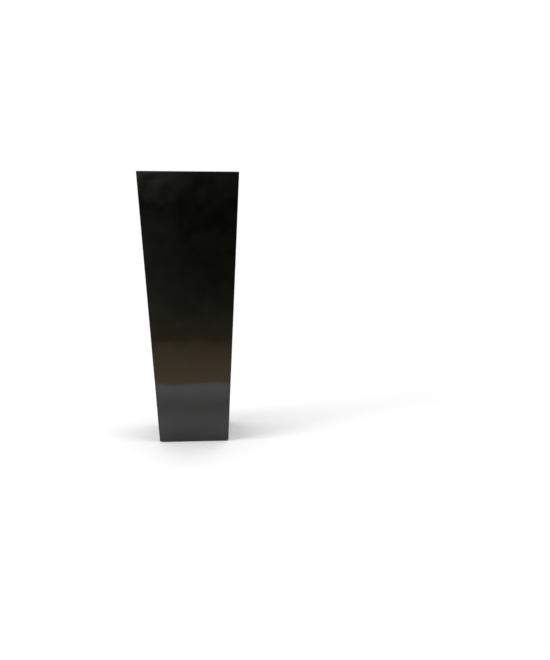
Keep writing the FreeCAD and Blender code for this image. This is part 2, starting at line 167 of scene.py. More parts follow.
def square_plan(side_steps, corner_steps):
    """The pattern of a ring with so many steps along a side and round a corner."""
    spread, facing, wall, place = [], [], [], []
    for side in range(4):
        turn = side * math.pi / 2
        out = np.array((math.sin(turn), -math.cos(turn)))
        along = np.array((math.cos(turn), math.sin(turn)))
        for share in np.linspace(-1, 1, side_steps + 1):
            spread.append(out + along * share)
            facing.append(out)
            wall.append(side)
            place.append(share)
        for step in range(1, corner_steps):
            angle = turn + math.pi / 2 * step / corner_steps
            spread.append(out + along)
            facing.append(np.array((math.sin(angle), -math.cos(angle))))
            wall.append(IN_CORNER)
            place.append(1.0)
    return Plan(np.array(spread), np.array(facing), np.array(wall), np.array(place))


print("a ring with 40 steps a side and 5 a corner has", len(square_plan(40, 5).wall), "points")

# %% [markdown]
# ## Hand-laid waviness
# A polished laminate is never quite flat: it swings by a fraction of a millimetre over a hand's width, and
# that is enough to bend the edges of what it mirrors. A bump map could fake it, but the swing is real
# shape, so it goes into the mesh. A few slow waves with fixed headings and phases are added up for each
# wall, and they fade out towards the arrises, which the mould keeps straight.

# %% The waviness of a wall
RIPPLE_SLOPE = 0.0026
RIPPLE_LENGTHS = (0.055, 0.075, 0.095, 0.12, 0.15, 0.21, 0.30)
RIPPLE_FADE = 0.030


def fade(distance):
    """0 at an edge, 1 from the fade distance on, smooth between."""
    share = np.clip(distance / RIPPLE_FADE, 0, 1)
    return share * share * (3 - 2 * share)


def ripple(wall, along, z):
    """How far a wall's surface swings out at a place along it and a height."""
    swing = np.zeros_like(along)
    for number, length in enumerate(RIPPLE_LENGTHS):
        heading = 2.4 * number + 1.1 * wall
        phase = 4.7 * number + 2.3 * wall
        across = along * np.cos(heading) + z * np.sin(heading)
        swing = swing + RIPPLE_SLOPE * length / (2 * math.pi) * np.sin(2 * math.pi * across / length + phase)
    return swing * fade(outside(z) - ARRIS - abs(along)) * fade(z - BASE) * fade(RIM_SEAT - z)


sample = ripple(np.zeros(200), np.linspace(-0.1, 0.1, 200), np.full(200, 0.5))
print(f"front wall at mid height swings over {1e6 * (sample.max() - sample.min()):.0f} micrometres")

# %% [markdown]
# ## Surface directions
# Shading follows the surface direction at each corner of a face. Blender could work it out from the faces
# around, which bends flats near round edges. Here it comes from the section: its slope at the end of a span,
# turned to the way the point faces, and tilted by the waviness, whose slopes are measured over a short step.

# %% Points and directions round a ring
TILT_STEP = 0.0005


def flat_ring(plan, half, corner):
    """A ring's points on the level, without waviness."""
    return (half - corner) * plan.spread + corner * plan.facing


def waves_at(plan, half, corner, z):
    """How far each point of a ring swings out, and how that changes along the wall and up it."""
    reach, height = plan.place * (half - corner), np.full(len(plan.wall), z)
    at = lambda u, v: np.where(plan.wall != IN_CORNER, ripple(plan.wall, reach + u, height + v), 0.0)
    sideways = at(TILT_STEP, 0) - at(-TILT_STEP, 0)
    upwards = at(0, TILT_STEP) - at(0, -TILT_STEP)
    return at(0, 0), np.stack((sideways, upwards), 1) / (2 * TILT_STEP)


def directions(plan, slope, tilt):
    """The surface direction at each point of a ring, from the section's slope and the waviness's tilt."""
    d_half, d_corner, d_z = slope
    rise = (d_half - d_corner) * (plan.spread * plan.facing).sum(1) + d_corner
    normal = np.column_stack((plan.facing * d_z, -rise))
    normal /= np.linalg.norm(normal, axis=1)[:, None]
    along = np.stack((-plan.facing[:, 1], plan.facing[:, 0]), 1)
    normal[:, :2] -= along * tilt[:, :1]
    normal[:, 2] -= tilt[:, 1]
    return normal / np.linalg.norm(normal, axis=1)[:, None]


upright = square_plan(2, 2)
faces_way = directions(upright, (LEAN, 0, 1), np.zeros((len(upright.wall), 2)))[1]
print("the front wall faces", [round(float(c), 3) for c in faces_way])

# %% [markdown]
# ## Where a finish is rubbed
# Hands, boxes and doorways rub a planter on its outer edges and its upright corners first. Blender's
# pointiness could find the edges, but only in a render, and only where the mesh is dense. The section
# already knows them, so each point carries a mark that the finishes read.

# %% Marks on the outer edges
RUBBED = "rubbed_edge"


def rubbed_marks(section, plan):
    """1 for a point on an outer edge or an upright corner, 0 elsewhere, ring by ring."""
    steep = lambda slope: abs(slope[2]) > abs(slope[0])
    level = {span.start for span in section.spans if not steep(span.slope_start)}
    level |= {span.end for span in section.spans if not steep(span.slope_end)}
    marks = []
    for station in range(len(section.stations)):
        corners = (plan.wall == IN_CORNER) & (station not in level)
        marks.append(np.where(corners | (station in section.outer_edges), 1.0, 0.0))
    return np.concatenate(marks)


marked = rubbed_marks(round_edge, upright)
print("the round edge has", int(marked.sum()), "rubbed points of", len(marked))

# %% [markdown]
# ## From stations to rings
# Each station of a section becomes a ring of points. Where the section is wavy, the points swing out and
# their directions tilt. A displace modifier could do that later, but then the directions would have to be
# guessed from the faces. The way round is measured on the level ring, so the map of a wavy wall stays
# straight.

# %% The rings of a loft


def loft_rings(section, plan):
    """Points, waviness tilts and distances travelled round, ring by ring."""
    wavy = {station for span in section.spans if span.wavy for station in (span.start, span.end)}
    points, tilts, rounds = [], [], []
    for i, (half, corner, z) in enumerate(section.stations):
        flat = flat_ring(plan, half, corner)
        swing, tilt = np.zeros(len(flat)), np.zeros((len(flat), 2))
        if i in wavy:
            swing, tilt = waves_at(plan, half, corner, z)
        points.append(np.column_stack((flat + plan.facing * swing[:, None], np.full(len(flat), z))))
        tilts.append(tilt)
        edge = np.linalg.norm(np.roll(flat, -1, 0) - flat, axis=1)
        rounds.append(np.concatenate(([0.0], np.cumsum(edge))))
    return np.concatenate(points), tilts, rounds


print("the round edge has", len(loft_rings(round_edge, upright)[0]), "points in its rings")

# %% [markdown]
# ## From rings to a mesh
# The rings are joined into quads. Each quad keeps the surface direction of its own span, so flats stay
# flat right up to their round edges. A flat map in metres (round the moulding, along the section)
# goes with the mesh, for finishes that have a grain.

# %% The loft


def loft(name, section, side_steps, corner_steps):
    """A mesh of a section carried round a square."""
    plan = square_plan(side_steps, corner_steps)
    count = len(plan.wall)
    points, tilts, rounds = loft_rings(section, plan)
    faces, finishes, normals, maps, travelled = [], [], [], [], 0.0
    for a, b, slope_a, slope_b, finish, _ in section.spans:
        here, there = directions(plan, slope_a, tilts[a]), directions(plan, slope_b, tilts[b])
        further = travelled + np.linalg.norm((section.stations[b] - section.stations[a])[[0, 2]])
        for j in range(count):
            k = (j + 1) % count
            faces.append((a * count + j, a * count + k, b * count + k, b * count + j))
            finishes.append(finish)
            normals += [here[j], here[k], there[k], there[j]]
            maps += [(rounds[a][j], travelled), (rounds[a][j + 1], travelled)]
            maps += [(rounds[b][j + 1], further), (rounds[b][j], further)]
        travelled = further
    mesh = bpy.data.meshes.new(name)
    mesh.from_pydata(points.tolist(), [], faces)
    mesh.polygons.foreach_set("material_index", finishes)
    mesh.shade_smooth()
    mesh.uv_layers.new(name="metres").data.foreach_set("uv", np.array(maps, np.float32).ravel())
    mesh.attributes.new(RUBBED, "FLOAT", "POINT").data.foreach_set("value", rubbed_marks(section, plan))
    mesh.normals_split_custom_set(np.array(normals))
    print(f"{name}: {len(faces)} faces lofted, {travelled:.3f} m along its section")
    return mesh


# %% [markdown]
# ## A piece in its place
# Every finished piece stands for one CAD node and rides on that node's body, so that it moves with the
# joints. The mesh is already where the node is, so a piece is never moved to fit.

# %% Put a piece in its place


def place_piece(mesh, body, node, slot, *finishes):
    """Puts a mesh into the scene as the piece that stands for a CAD node and rides on its body."""
    piece = bpy.data.objects.new(mesh.name, mesh)
    bpy.context.scene.collection.objects.link(piece)
    for finish in finishes:
        mesh.materials.append(finish)
    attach(piece, body)
    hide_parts(node)
    print(f"{piece.name}: {len(mesh.polygons)} faces, rides on {body}")
    return piece


# %% [markdown]
# ## The shell
# Four walls in one moulding. The section goes up the outside, over the top edge (hidden by the rim),
# down the inside, and round the foot, whose outer edge is eased. A tapered cube with a solidify modifier
# would give the outline, but neither the waviness nor the eased foot. The outside has many stations so
# that the waviness is smooth; the inside needs few. The outside is gelcoat, the inside is flow coat.

# %% Build the shell
FOOT_EDGE = 0.002
INSIDE_CORNER = 0.008
FINISH_OUT, FINISH_IN = 0, 1


def shell_section():
    """Outside, top edge, inside and foot of the walls."""
    foot_z = BASE + FOOT_EDGE
    ease = outside(foot_z) - FOOT_EDGE / math.cos(LEAN_ANGLE)
    foot_half = ease + FOOT_EDGE * math.cos(LEAN_ANGLE)
    section = Section(foot_half, ARRIS, foot_z - FOOT_EDGE * math.sin(LEAN_ANGLE))
    section.line(outside(RIM_SEAT), ARRIS, RIM_SEAT, steps=120, finish=FINISH_OUT, wavy=True)
    section.line(inside(RIM_SEAT), INSIDE_CORNER, RIM_SEAT)
    section.line(inside(BASE), INSIDE_CORNER, BASE, steps=30, finish=FINISH_IN)
    section.line(ease, ARRIS + ease - foot_half, BASE)
    return section.arc(ease, foot_z, FOOT_EDGE, -90, -LEAN_DEGREES).meet()


shell_mesh = loft("shell_walls", shell_section(), side_steps=40, corner_steps=5)
shell = place_piece(shell_mesh, "planter", "shell", "gelcoat_black")

# %% [markdown]
# ## The rim
# A plate as wide as the walls, turned down into the mouth, with a spigot that centres it in the shell.
# Its outer edge is crisp but not sharp, and its mouth edge rolls over into the lip. Four bevelled boxes could
# be put together for it, but their mitres would show as lines in the gloss, so it is lofted too. The plate's
# outside leans with the walls, so shell and rim read as one surface. Underneath it is bare flow coat.

# %% Build the rim
RIM_WIDTH = 0.032
TOP_EDGE = 0.0028
MOUTH_EDGE = 0.0025
MOUTH_CORNER = 0.008
LIP = 0.004
SPIGOT = 0.004
SPIGOT_DEPTH = 0.018
BOND_RELIEF = 0.001
MOUTH = outside(HEIGHT) - RIM_WIDTH


def rim_section():
    """Outside, top, lip, underside and spigot of the rim."""
    top_half = outside(HEIGHT - TOP_EDGE) - TOP_EDGE / math.cos(LEAN_ANGLE)
    bend = HEIGHT - TOP_EDGE - TOP_EDGE * math.sin(LEAN_ANGLE)
    lip_round = rim_low.z + LIP / 2
    spigot_end = RIM_SEAT - SPIGOT_DEPTH
    bonded = INSIDE_CORNER + BOND_RELIEF
    section = Section(outside(RIM_SEAT), ARRIS, RIM_SEAT)
    section.line(top_half + TOP_EDGE * math.cos(LEAN_ANGLE), ARRIS, bend)
    section.arc(top_half, HEIGHT - TOP_EDGE, TOP_EDGE, -LEAN_DEGREES, 90, steps=7)
    section.line(MOUTH + MOUTH_EDGE, MOUTH_CORNER + MOUTH_EDGE, HEIGHT, steps=3)
    section.arc(MOUTH + MOUTH_EDGE, HEIGHT - MOUTH_EDGE, MOUTH_EDGE, 90, 180, steps=6)
    section.line(MOUTH, MOUTH_CORNER, lip_round, steps=4)
    section.arc(MOUTH + LIP / 2, lip_round, LIP / 2, 180, 360, steps=8, finish=FINISH_IN)
    section.line(MOUTH + LIP, MOUTH_CORNER + LIP, RIM_SEAT, steps=2, finish=FINISH_IN)
    section.line(inside(RIM_SEAT) - SPIGOT, bonded - SPIGOT, RIM_SEAT, finish=FINISH_IN)
    section.line(inside(spigot_end) - SPIGOT, bonded - SPIGOT, spigot_end, finish=FINISH_IN)
    section.line(inside(spigot_end), bonded, spigot_end, finish=FINISH_IN)
    section.line(inside(RIM_SEAT), bonded, RIM_SEAT, finish=FINISH_IN)
    return section.close(finish=FINISH_IN)


rim_mesh = loft("return_rim", rim_section(), side_steps=24, corner_steps=6)
rim = place_piece(rim_mesh, "planter", "rim_frame", "gelcoat_black")
print("mouth", round(2000 * MOUTH, 1), "mm wide")

# %% [markdown]
# ## Camera
# The photograph was taken from below the height of the rim, a little over two metres off, looking down a bit.
# A camera could be aimed by eye, but its place, heading and pitch were worked out from the corners of
# the front wall in the picture, so the planter falls on the same pixels.

# %% Set the camera
CAMERA_PLACE = Vector((0.165, -2.3523, 0.7525))
CAMERA_HEADING = math.radians(3.712)
CAMERA_PITCH = math.radians(8.288)
FOCAL_PIXELS = 600
LONG_SIDE_PIXELS = 660
SENSOR = 36

camera_data = bpy.data.cameras.new("camera")
camera_data.sensor_width = SENSOR
camera_data.lens = SENSOR * FOCAL_PIXELS / LONG_SIDE_PIXELS
camera = bpy.data.objects.new("camera", camera_data)
bpy.context.scene.collection.objects.link(camera)
turned_view = Matrix.Rotation(-CAMERA_HEADING, 3, "Z") @ Matrix.Rotation(math.pi / 2 - CAMERA_PITCH, 3, "X")
camera.matrix_world = Matrix.Translation(CAMERA_PLACE) @ turned_view.to_4x4()
bpy.context.scene.camera = camera
bpy.context.scene.view_settings.view_transform = "Standard"
print("lens", round(camera_data.lens, 2), "mm")

# %% [markdown]
# ## A small helper for node materials
# Each finish is a tree of nodes. The trees could be wired by hand in the shader editor, but code can be read
# and run again. A helper that makes a node, sets its plain values and links the rest keeps them short.

# %% Node helper


class Nodes:
    """A node tree being written: make() adds a node, sets plain values and links the rest."""

    def __init__(self, owner):
        owner.use_nodes = True
        self.tree = owner.node_tree
        self.tree.nodes.clear()

    def make(self, kind, inputs=None, **settings):
        node = self.tree.nodes.new(kind)
        for name, value in settings.items():
            setattr(node, name, value)
        for key, value in (inputs or {}).items():
            if isinstance(value, bpy.types.NodeSocket):
                self.tree.links.new(value, node.inputs[key])
            else:
                node.inputs[key].default_value = value
        return node

    def sum(self, operation, first, second=0.0):
        """One step of arithmetic, such as ADD or MAXIMUM."""
        return self.make("ShaderNodeMath", {0: first, 1: second}, operation=operation).outputs[0]

    def add(self, first, second):
        return self.sum("ADD", first, second)

    def times(self, first, second):
        return self.sum("MULTIPLY", first, second)

    def ramp(self, value, low, high, to_low=0.0, to_high=1.0, smooth=True):
        """Turns low..high into to_low..to_high, eased and clamped."""
        inputs = {"Value": value, "From Min": low, "From Max": high, "To Min": to_low, "To Max": to_high}
        kind = "SMOOTHSTEP" if smooth else "LINEAR"
        return self.make("ShaderNodeMapRange", inputs, interpolation_type=kind).outputs["Result"]

    def blend(self, share, first, second):
        """A colour between two, by a share from 0 to 1."""
        node = self.make("ShaderNodeMix", {0: share, 6: first, 7: second}, data_type="RGBA")
        return node.outputs[2]


print("helpers:", ", ".join(name for name in vars(Nodes) if not name.startswith("_")))

# %% [markdown]
# ## Textures and surfaces
# A few more helpers are shared by all finishes. Noise is measured per metre. A grain is noise that is
# stretched one way, so its coordinates are turned first and then counted in grain sizes. Every surface is
# one principled shader with colour, roughness and relief from its nodes; its refraction is the same all over.

# %% Texture helpers


class Finish(Nodes):
    """A new material with its node tree."""

    def __init__(self, name):
        self.material = bpy.data.materials.new(name)
        super().__init__(self.material)

    def place(self, socket="Object"):
        return self.make("ShaderNodeTexCoord").outputs[socket]

    def noise(self, where, scale, detail=2.0, rough=0.5):
        inputs = {"Vector": where, "Scale": scale, "Detail": detail, "Roughness": rough}
        return self.make("ShaderNodeTexNoise", inputs).outputs["Fac"]

    def grain(self, where, size, turn=0.0):
        """Coordinates turned, then measured in grain sizes in metres, for a grain that runs one way."""
        inputs = {"Vector": where, "Scale": size, "Rotation": (0.0, 0.0, turn)}
        return self.make("ShaderNodeMapping", inputs, vector_type="TEXTURE").outputs[0]

    def worn_edges(self, where):
        """1 where an outer edge is rubbed, in patches, and 0 elsewhere."""
        edge = self.make("ShaderNodeAttribute", attribute_name=RUBBED).outputs["Fac"]
        patches = self.noise(where, scale=40.0, detail=5.0, rough=0.6)
        return self.times(edge, self.ramp(patches, 0.30, 0.75))

    def relief(self, height, strength, distance):
        inputs = {"Height": height, "Strength": strength, "Distance": distance}
        return self.make("ShaderNodeBump", inputs).outputs[0]

    def surface(self, colour, rough, relief, refraction):
        inputs = {"Base Color": colour, "Roughness": rough, "Normal": relief, "IOR": refraction}
        shader = self.make("ShaderNodeBsdfPrincipled", inputs)
        self.make("ShaderNodeOutputMaterial", {"Surface": shader.outputs[0]})
        print(f"{self.material.name}: {len(self.tree.nodes)} nodes")
        return self.material


print("more helpers:", ", ".join(name for name in vars(Finish) if not name.startswith("_")))

# %% [markdown]
# ## Gelcoat
# The outside is polyester gelcoat, polished in the mould: almost black, with the mirror of a hard gloss.
# A black glossy shader alone would look like glass, because a real finish is never quite even. Slow patches
# of haze from polishing change how sharp it mirrors, a very fine orange peel breaks up highlights, rubbing
# dulls it in thin streaks and greys the outer edges, as wear and partly as a painted highlight along them,
# and specks of dust settle on it.

# %% The gelcoat finish
DEEP_BLACK, CLOUDED_BLACK = (0.0025, 0.0026, 0.0020, 1), (0.0058, 0.0060, 0.0046, 1)
DUST, RUBBED_GELCOAT_AND_HIGHLIGHT = (0.06, 0.058, 0.054, 1), (0.034, 0.034, 0.033, 1)
RUB_STREAK = (0.0011, 0.0011, 0.07)
HAZE, STREAK_DULLS = (0.045, 0.075), (0.0, 0.02)
DUST_DULLS, DUST_SHOWS = 0.25, 0.35
WEAR_DULLS, WEAR_AND_HIGHLIGHT_SHOWS = 0.22, 0.6
GELCOAT_REFRACTION = 1.56


def gelcoat():
    """Polished black with haze, streaks, dust, and rubbed edges greyed as wear and partly as painted
    highlight.
    """
    finish = Finish("gelcoat_black")
    where = finish.place()
    polish = finish.noise(where, scale=7.0, detail=4.0, rough=0.55)
    clouds = finish.noise(where, scale=22.0, detail=5.0, rough=0.6)
    streaks = finish.noise(finish.grain(where, RUB_STREAK), scale=1.0, detail=3.0, rough=0.6)
    dust = finish.ramp(finish.noise(where, scale=1400.0, detail=1.0), 0.70, 0.78)
    worn = finish.worn_edges(where)
    rough = finish.add(finish.ramp(polish, 0.3, 0.7, *HAZE), finish.ramp(streaks, 0.55, 0.8, *STREAK_DULLS))
    rough = finish.add(rough, finish.times(dust, DUST_DULLS))
    rough = finish.add(rough, finish.times(worn, WEAR_DULLS))
    colour = finish.blend(finish.ramp(clouds, 0.3, 0.72), DEEP_BLACK, CLOUDED_BLACK)
    colour = finish.blend(finish.times(dust, DUST_SHOWS), colour, DUST)
    # painted highlight: the outer edges are greyed partly as wear and partly as a painted highlight along
    # them
    colour = finish.blend(finish.times(worn, WEAR_AND_HIGHLIGHT_SHOWS), colour, RUBBED_GELCOAT_AND_HIGHLIGHT)
    orange_peel = finish.noise(where, scale=420.0, detail=1.0)
    relief = finish.relief(orange_peel, strength=0.03, distance=0.0004)
    return finish.surface(colour, rough, relief, GELCOAT_REFRACTION)


GELCOAT = gelcoat()
for piece in (shell, rim):
    piece.data.materials.append(GELCOAT)

# %% [markdown]
# ## Flow coat over chopped strands
# The inside of a laminate is not moulded against anything. The chopped strand mat shows through the flow
# coat that is brushed over it: short straight fibres in every direction, pooled resin between them.
# Hair curves could draw the fibres one by one, but a texture is light enough to cover every inside face.
# Four long, thin grains turned by different angles make the strands, and the strongest of them at each place
# stands up a little from the resin.

# %% The flow coat finish
STRAND = (0.022, 0.0016, 0.022)
STRAND_TURNS = (0.35, 1.15, 1.95, 2.75)
POOLED, THIN_COAT = (0.022, 0.022, 0.0225, 1), (0.038, 0.0375, 0.037, 1)
BARE_STRAND, HANDLED_EDGE = (0.085, 0.083, 0.079, 1), (0.12, 0.118, 0.112, 1)
COAT_ROUGH = (0.30, 0.46)
STRAND_DULLS, STRAND_SHOWS, STRAND_STANDS = 0.10, 0.5, 0.6
HANDLING_SHOWS = 0.7
RESIN_REFRACTION = 1.5


def flow_coat(finish, where, handled):
    """Strands and pooled resin on the coordinates given; a handled piece has paler edges."""
    strands = 0.0
    for turn in STRAND_TURNS:
        strand = finish.noise(finish.grain(where, STRAND, turn), scale=1.0, detail=1.0)
        strands = finish.sum("MAXIMUM", strands, finish.ramp(strand, 0.56, 0.72))
    pools = finish.noise(where, scale=28.0, detail=4.0, rough=0.6)
    rough = finish.add(finish.ramp(pools, 0.3, 0.7, *COAT_ROUGH), finish.times(strands, STRAND_DULLS))
    colour = finish.blend(finish.ramp(pools, 0.3, 0.7), POOLED, THIN_COAT)
    colour = finish.blend(finish.times(strands, STRAND_SHOWS), colour, BARE_STRAND)
    if handled:
        worn = finish.times(finish.worn_edges(where), HANDLING_SHOWS)
        colour = finish.blend(worn, colour, HANDLED_EDGE)
    height = finish.add(finish.times(strands, STRAND_STANDS), pools)
    relief = finish.relief(height, strength=0.8, distance=0.0006)
    return finish.surface(colour, rough, relief, RESIN_REFRACTION)


inside_finish = Finish("flowcoat_black")
FLOW_COAT = flow_coat(inside_finish, inside_finish.place("UV"), handled=False)
for piece in (shell, rim):
    piece.data.materials.append(FLOW_COAT)

# %% [markdown]
# ## Flow coat on flat pieces
# Tray, ledges and shelf come out of small open moulds. The same strands show in them, but they have no map
# round a square, so the finish runs on the piece's own coordinates, slanted with height so that upright
# faces get strands too and not streaks. Edges that hands and compost rub are a little paler.

# %% The finish of the flat pieces
SLANT = (0.8, 1.1, 0.0)

flat_finish = Finish("flowcoat_flat")
level_place = flat_finish.place()
rise = flat_finish.make("ShaderNodeSeparateXYZ", {0: level_place}).outputs["Z"]
slant_inputs = {0: rise, 1: SLANT, 2: level_place}
slanted = flat_finish.make("ShaderNodeVectorMath", slant_inputs, operation="MULTIPLY_ADD").outputs[0]
FLAT_COAT = flow_coat(flat_finish, slanted, handled=True)

# %% [markdown]
# ## Holes in a plate
# Shelf and tray are plates with holes. Cutting them with a boolean would work, but it leaves ragged faces
# round each hole. Here a hole is a stack of rings through the plate, and the plate's faces are filled up to
# them. A ring is a circle, or a slot: two half circles that stand apart.

# %% Rings of a hole
HOLE_STEPS = 32


def hole_ring(x, y, reach, radius, z):
    """One ring of a hole: a circle, or a slot whose two ends stand apart by twice the reach."""
    ring = []
    for step in range(HOLE_STEPS):
        turn = 2 * math.pi * (step + 0.5) / HOLE_STEPS
        shift = math.copysign(reach, math.cos(turn))
        ring.append((x + shift + radius * math.cos(turn), y + radius * math.sin(turn), z))
    return ring


def wall_hole(plate, hole):
    """Joins a hole's rings, from the top down, into its wall, and marks its eased edges as rubbed."""
    rings = [[plate.verts.new(point) for point in ring] for ring in hole]
    for ring, below in zip(rings[:-1], rings[1:]):
        for j in range(HOLE_STEPS):
            k = (j + 1) % HOLE_STEPS
            plate.faces.new((ring[j], ring[k], below[k], below[j]))
    for vert in sum(rings[1:-1], []):
        vert[plate.verts.layers.float[RUBBED]] = 1.0
    return rings[0], rings[-1]


print("a ring of a hole has", HOLE_STEPS, "points")

# %% [markdown]
# ## Plates
# A plate's turned edges are one section carried round a square, like the rim, which leaves two open rings:
# the edge of its underside and the edge of its top. Both faces are filled between that ring and the
# rings of the holes. A filled face has long triangles, so the shading is weighted by face size.

# %% Fill a plate


def fill_face(plate, loops, up):
    """Fills the area between an outer ring and the rings of the holes in it, facing up or down."""
    edges = []
    for ring in loops:
        for a, b in zip(ring, ring[1:] + ring[:1]):
            edges.append(plate.edges.get((a, b)) or plate.edges.new((a, b)))
    made = bmesh.ops.triangle_fill(plate, edges=edges, use_beauty=True, normal=(0, 0, up))
    for face in [item for item in made["geom"] if isinstance(item, bmesh.types.BMFace)]:
        face.normal_update()
        if face.normal.z * up < 0:
            face.normal_flip()


def plate_mesh(name, section, side_steps, corner_steps, holes):
    """A section's mesh with an underside in its first ring, a top in its last, and holes through both."""
    mesh = loft(name, section, side_steps, corner_steps)
    count = len(square_plan(side_steps, corner_steps).wall)
    plate = bmesh.new()
    plate.from_mesh(mesh)
    plate.verts.ensure_lookup_table()
    under, over = [plate.verts[:count]], [plate.verts[-count:]]
    for hole in holes:
        upper, lower = wall_hole(plate, hole)
        over.append(upper)
        under.append(lower)
    fill_face(plate, over, 1)
    fill_face(plate, under, -1)
    plate.to_mesh(mesh)
    plate.free()
    mesh.shade_smooth()
    print(f"{name}: {len(mesh.polygons)} faces, holes through it: {len(holes)}")
    return mesh


def even_shading(piece):
    """Lets the large faces set the shading, so flats look flat up to their eased edges."""
    piece.modifiers.new("even_shading", "WEIGHTED_NORMAL").keep_sharp = True


# %% [markdown]
# ## The planting shelf
# A plate with a turned-down skirt, lifted out by two hand slots; four holes let water through to the sump.
# Every hole has an eased edge, which is how a cut laminate is finished so that it doesn't scratch a hand.

# %% The shelf's section
shelf_low, shelf_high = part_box("planting_shelf")

PLATE = 0.005
SKIRT = 0.005
SHELF_CORNER = 0.014
SHELF_EDGE = 0.0025
SKIRT_EDGE = 0.0012
WELL_ROOT = 0.003
SHELF_TOP = shelf_high.z
SHELF_UNDER = SHELF_TOP - PLATE


def shelf_section():
    """Underside, skirt, outer edge and top of the shelf, open where the plate is filled in."""
    half, low = shelf_high.x, shelf_low.z
    well, well_corner = half - SKIRT, SHELF_CORNER - SKIRT
    section = Section(well - WELL_ROOT, well_corner - WELL_ROOT, SHELF_UNDER)
    section.arc(well - WELL_ROOT, SHELF_UNDER - WELL_ROOT, WELL_ROOT, 90, 0)
    section.line(well, well_corner, low + SKIRT_EDGE)
    section.arc(well + SKIRT_EDGE, low + SKIRT_EDGE, SKIRT_EDGE, 180, 270, steps=3)
    section.line(half - SKIRT_EDGE, SHELF_CORNER - SKIRT_EDGE, low)
    section.arc(half - SKIRT_EDGE, low + SKIRT_EDGE, SKIRT_EDGE, 270, 360, steps=3)
    section.line(half, SHELF_CORNER, SHELF_TOP - SHELF_EDGE)
    return section.arc(half - SHELF_EDGE, SHELF_TOP - SHELF_EDGE, SHELF_EDGE, 0, 90)


print("the shelf's section has", len(shelf_section().stations), "stations")

# %% Build the shelf
HOLE_EDGE = 0.0013
HAND_SLOT_LONG, HAND_SLOT_WIDE = 0.092, 0.028
HAND_SLOT_INSET = 0.044
SHELF_DRAIN = 0.018
SHELF_DRAIN_REACH = 0.048


def eased_hole(x, y, reach, radius):
    """Rings of a hole through the shelf with both its edges rounded."""
    upper = []
    for angle in np.radians(np.linspace(90, 180, 5)):
        wide = radius + HOLE_EDGE * (1 + math.cos(angle))
        upper.append((wide, SHELF_TOP - HOLE_EDGE * (1 - math.sin(angle))))
    lower = [(wide, SHELF_TOP + SHELF_UNDER - z) for wide, z in reversed(upper)]
    return [hole_ring(x, y, reach, wide, z) for wide, z in upper + lower]


slot_y = shelf_high.x - HAND_SLOT_INSET
slot_reach = (HAND_SLOT_LONG - HAND_SLOT_WIDE) / 2
shelf_holes = [eased_hole(0, side * slot_y, slot_reach, HAND_SLOT_WIDE / 2) for side in (-1, 1)]
for x, y in ((-1, -1), (1, -1), (1, 1), (-1, 1)):
    shelf_holes.append(eased_hole(x * SHELF_DRAIN_REACH, y * SHELF_DRAIN_REACH, 0, SHELF_DRAIN / 2))
shelf_mesh = plate_mesh("shelf_plate", shelf_section(), side_steps=20, corner_steps=6, holes=shelf_holes)
shelf = place_piece(shelf_mesh, "shelf", "planting_shelf", "flowcoat_black", FLAT_COAT)
even_shading(shelf)

# %% [markdown]
# ## The base tray
# The floor of the planter, with an upstand that is bonded to the inside of the walls. Its mould has a round
# root between floor and upstand, because mat doesn't lie into a sharp corner. The drain narrows downwards,
# so that the bung wedges in it. It is made like the shelf, with one plain hole.

# %% Build the tray
FLOOR_THICK = 0.006
UPSTAND = 0.004
TRAY_CORNER = 0.009
TRAY_ROOT = 0.004
TRAY_EDGE = 0.001
DRAIN_LOW, DRAIN_HIGH = 0.012, 0.0135
FLOOR_TOP = BASE + FLOOR_THICK


def tray_section():
    """Outside, top and inside of the tray's upstand, down to its root on the floor."""
    top_z = tray_high.z - TRAY_EDGE
    root_z = FLOOR_TOP + TRAY_ROOT * (1 - math.sin(LEAN_ANGLE))
    root = inside(root_z) - UPSTAND
    level = lambda size: size / math.cos(LEAN_ANGLE)
    outer_top, inner_top = inside(top_z) - level(TRAY_EDGE), inside(top_z) - UPSTAND + level(TRAY_EDGE)
    section = Section(inside(BASE), TRAY_CORNER, BASE)
    section.line(inside(top_z), TRAY_CORNER, top_z)
    section.arc(outer_top, top_z, TRAY_EDGE, -LEAN_DEGREES, 90, steps=3)
    section.line(inner_top, TRAY_CORNER - UPSTAND + TRAY_EDGE, tray_high.z)
    section.arc(inner_top, top_z, TRAY_EDGE, 90, 180 - LEAN_DEGREES, steps=3)
    section.line(root, TRAY_CORNER - UPSTAND, root_z)
    return section.arc(root - level(TRAY_ROOT), FLOOR_TOP + TRAY_ROOT, TRAY_ROOT, -LEAN_DEGREES, -90)


drain = [hole_ring(0, 0, 0, DRAIN_HIGH, FLOOR_TOP), hole_ring(0, 0, 0, DRAIN_LOW, BASE)]
tray_mesh = plate_mesh("base_tray_plate", tray_section(), side_steps=20, corner_steps=6, holes=[drain])
tray = place_piece(tray_mesh, "planter", "base_tray", "flowcoat_black", FLAT_COAT)
even_shading(tray)

# %% [markdown]
# ## Outlines with eased corners
# Ledges, bung and pads have outlines with corners of different roundings. A bevel modifier would need a
# weight on every edge for that, so here each corner of an outline says its own rounding.

# %% Ease the corners of an outline


def eased(corners, steps=4):
    """An outline through corners (across, up, rounding) with each corner rounded; 0 leaves it sharp."""
    points = [Vector(corner[:2]) for corner in corners]
    outline = []
    for i, (corner, (_, _, rounding)) in enumerate(zip(points, corners)):
        if rounding == 0:
            outline.append(corner)
            continue
        before = (points[i - 1] - corner).normalized()
        after = (points[(i + 1) % len(points)] - corner).normalized()
        half = before.angle(after) / 2
        centre = corner + (before + after).normalized() * rounding / math.sin(half)
        start = corner + before * rounding / math.tan(half) - centre
        end = corner + after * rounding / math.tan(half) - centre
        turn = math.atan2(start.cross(end), start.dot(end))
        for step in range(steps + 1):
            outline.append(centre + Matrix.Rotation(turn * step / steps, 2) @ start)
    return outline


one_eased = eased([(0, 0, 0), (1, 0, 0), (1, 1, 0.1), (0, 1, 0)])
print("a square with one eased corner has", len(one_eased), "points")

